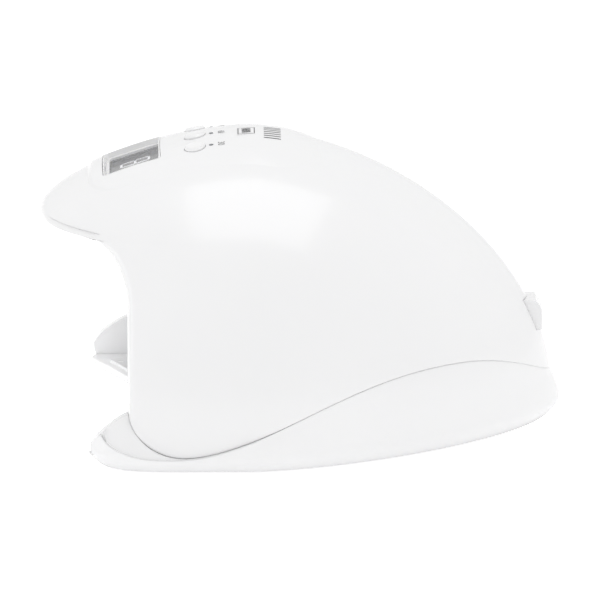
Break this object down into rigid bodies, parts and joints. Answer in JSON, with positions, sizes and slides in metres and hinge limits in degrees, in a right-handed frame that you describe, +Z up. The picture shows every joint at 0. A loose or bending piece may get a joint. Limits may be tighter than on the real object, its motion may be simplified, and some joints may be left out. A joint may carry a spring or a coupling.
{
  "type": "uv led nail lamp",
  "caption": "Domed gloss-white nail-curing lamp with an overhanging front, digit display, press buttons and an open-fronted lift-off magnetic base.",
  "frame": {"origin": "on the table plane, under the middle of the whole length and width", "axes": "+Z up, -Y towards the hand opening, +X to the right of a person who stands behind the lamp"},
  "size_m": [0.179, 0.2006, 0.1137],
  "materials": {
    "shell_white": "high gloss moulded",
    "floor_white": "gloss",
    "satin_white": "satin",
    "trim_white": "gloss",
    "button_white": "gloss",
    "reflector": "metallised satin",
    "nickel": "plated",
    "steel": "plain",
    "rubber": "matte",
    "smoked_window": "smoked clear",
    "display_black": "dark",
    "board_green": "solder mask",
    "switch_black": "plain",
    "light_pipe": "clear",
    "led_board": "white coated",
    "bead_resin": "clear resin over phosphor",
    "sensor_black": "dark clear",
    "contact_brass": "plated",
    "wire_red": "insulation",
    "wire_black": "insulation"
  },
  "bodies": {
    "base": {"base_shell": "shell_white", "base_floor": "floor_white", "bottom_cover": "satin_white", "base_magnets": "nickel", "rubber_feet": "rubber", "base_screws": "steel"},
    "hood": {"hood_shell": "shell_white", "liner": "reflector", "control_panel": "shell_white", "display_bezel": "trim_white", "display_lens": "smoked_window", "display_module": "display_black", "control_board": "board_green", "switch_bodies": "switch_black", "light_pipes": "light_pipe", "led_board_top": "led_board", "led_board_left": "led_board", "led_board_right": "led_board", "led_board_rear": "led_board", "led_beads": "bead_resin", "motion_sensor": "sensor_black", "socket_housing": "trim_white", "socket_contact": "contact_brass", "hood_screws": "steel", "board_screws": "steel", "catch_discs": "steel", "power_wires": "wire_red", "led_wires": "wire_black"},
    "button_left_body": {"button_left": "button_white", "plunger_left": "switch_black"},
    "button_middle_body": {"button_middle": "button_white", "plunger_middle": "switch_black"},
    "button_right_body": {"button_right": "button_white", "plunger_right": "switch_black"}
  },
  "joints": [
    {"name": "hood_lift", "type": "slide", "parent": "base", "child": "hood", "axis": [0, 0, 1], "range_m": [0, 0.06]},
    {"name": "press_left", "type": "slide", "parent": "hood", "child": "button_left_body", "axis": [0.1491, 0.1785, -0.9726], "range_m": [0, 0.0008], "stiffness_N_per_m": 600},
    {"name": "press_middle", "type": "slide", "parent": "hood", "child": "button_middle_body", "axis": [0, 0.1844, -0.9829], "range_m": [0, 0.0008], "stiffness_N_per_m": 600},
    {"name": "press_right", "type": "slide", "parent": "hood", "child": "button_right_body", "axis": [-0.1491, 0.1785, -0.9726], "range_m": [0, 0.0008], "stiffness_N_per_m": 600}
  ]
}
